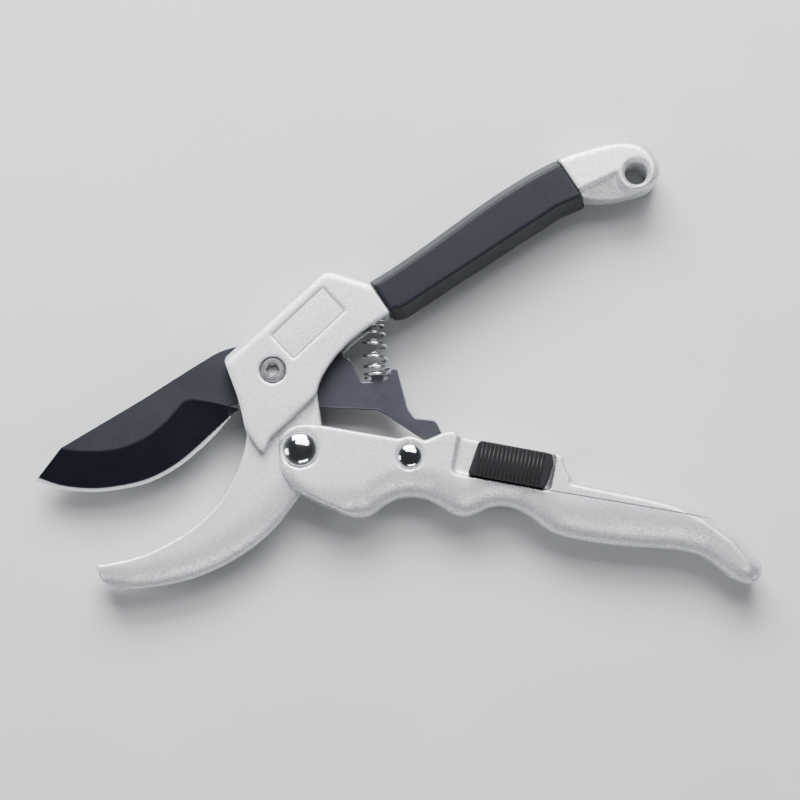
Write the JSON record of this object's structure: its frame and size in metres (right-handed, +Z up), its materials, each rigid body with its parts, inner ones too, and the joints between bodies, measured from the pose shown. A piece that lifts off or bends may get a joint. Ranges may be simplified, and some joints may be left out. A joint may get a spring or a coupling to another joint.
{
  "type": "ratchet pruning shears",
  "caption": "Ratchet pruning shears lying open: curved blade, slotted counter jaw, sleeved upper handle with hanging hole, finger-grooved lower handle with thumb lock.",
  "frame": {"origin": "centre of the bounding box, on the plane the shears lie on", "axes": "+X along the tool from the blade tip to the handle ends, +Y across it from the lower to the upper handle, +Z up through its thickness, out of the face with the lock slider"},
  "size_m": [0.2166, 0.1346, 0.0191],
  "materials": {
    "silver_casting": "bright hammered silver paint",
    "blade_coating": "dark non-stick coating, satin, ground edge bright",
    "dark_steel": "blue-grey satin",
    "chrome": "mirror-bright plating",
    "steel": "plain turned",
    "spring_steel": "bright drawn wire",
    "bronze": "satin turned",
    "grip_plastic": "fine matt, slightly blue",
    "black_plastic": "matt, ribbed"
  },
  "bodies": {
    "upper": {"upper_handle": "silver_casting", "label_plate": "silver_casting", "counter_jaw": "silver_casting", "pivot_screw": "chrome", "pivot_nut": "steel", "pivot_bushing": "bronze", "blade_washer_front": "bronze", "blade_washer_rear": "bronze", "jaw_screw": "steel", "grip_sleeve": "grip_plastic", "end_cap": "silver_casting", "cap_screw": "steel", "spring_peg": "steel", "return_spring": "spring_steel"},
    "blade": {"blade": "blade_coating"},
    "lower": {"lower_handle": "silver_casting", "handle_bolt": "chrome", "handle_nut": "chrome", "handle_washer_front": "steel", "handle_washer_rear": "steel", "link_rivet": "chrome", "rivet_collar": "chrome", "link_spacer_front": "bronze", "link_spacer_rear": "bronze"},
    "link": {"ratchet_link": "dark_steel"},
    "lock": {"lock_slider": "black_plastic", "lock_bar": "steel", "lock_leaf": "spring_steel"}
  },
  "joints": [
    {"name": "handle_pivot", "type": "hinge", "parent": "upper", "child": "lower", "pos_m": [-0.02909, -0.02599, 0.0093], "axis": [0, 0, 1], "range_deg": [0, 19.79], "stiffness_Nm_per_rad": 0.67, "springref_deg": -9.74, "deforming": ["return_spring"]},
    {"name": "blade_pivot", "type": "hinge", "parent": "upper", "child": "blade", "pos_m": [-0.03729, -0.00238, 0.0093], "axis": [0, 0, 1], "range_deg": [0, 28]},
    {"name": "link_pivot", "type": "hinge", "parent": "lower", "child": "link", "pos_m": [0.00351, -0.02798, 0.0093], "axis": [0, 0, 1], "range_deg": [-11.5, 0]},
    {"name": "lock_slide", "type": "slide", "parent": "lower", "child": "lock", "axis": [-0.9836, 0.1805, 0], "range_m": [0, 0.0045]}
  ],
  "couplings": [
    {"joint": "blade_pivot", "follows": "handle_pivot", "ratio": 1.4144},
    {"joint": "link_pivot", "follows": "handle_pivot", "ratio": -0.5806}
  ]
}
